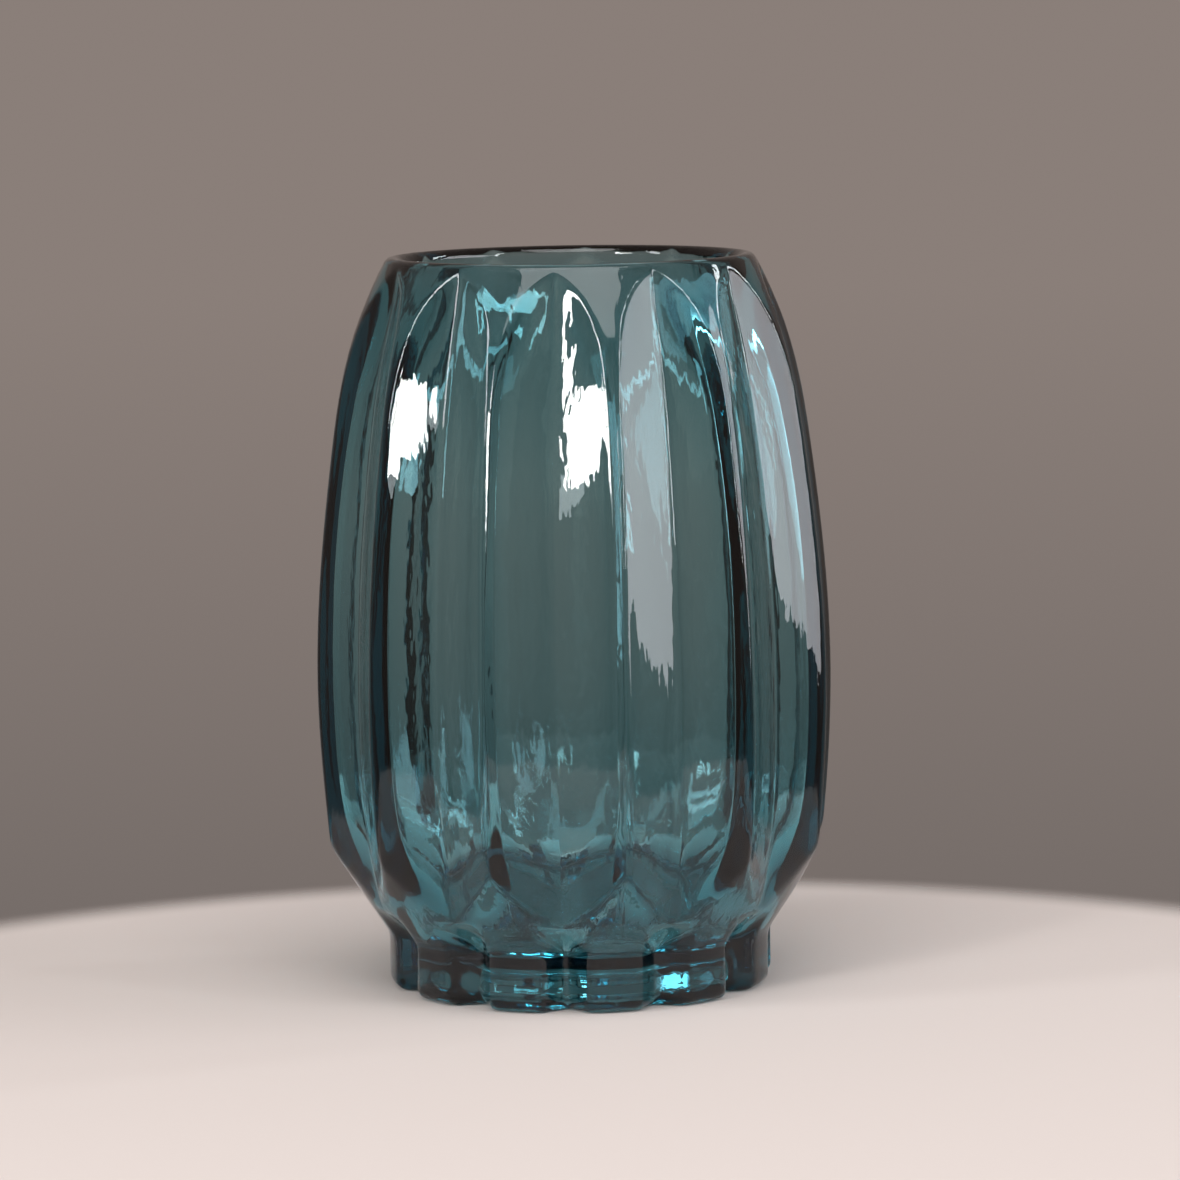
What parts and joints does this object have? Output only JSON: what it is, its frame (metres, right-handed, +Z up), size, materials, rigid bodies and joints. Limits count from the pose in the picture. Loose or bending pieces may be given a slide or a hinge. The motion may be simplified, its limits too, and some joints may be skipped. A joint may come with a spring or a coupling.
{
  "type": "glass vase",
  "caption": "Barrel-shaped glass vase with upright ribs, V-shaped flutes, a round rim and a lobed foot, open at the top to hold water and cut flowers.",
  "frame": {"origin": "centre of the underside, on the surface the vase stands on", "axes": "+Z up along the vase's axis, with one rib centred on -Y"},
  "size_m": [0.1434, 0.1434, 0.2],
  "materials": {
    "glass": "clear petrol-blue glass, polished"
  },
  "bodies": {
    "root": {"glass_vase": "glass"}
  },
  "joints": []
}
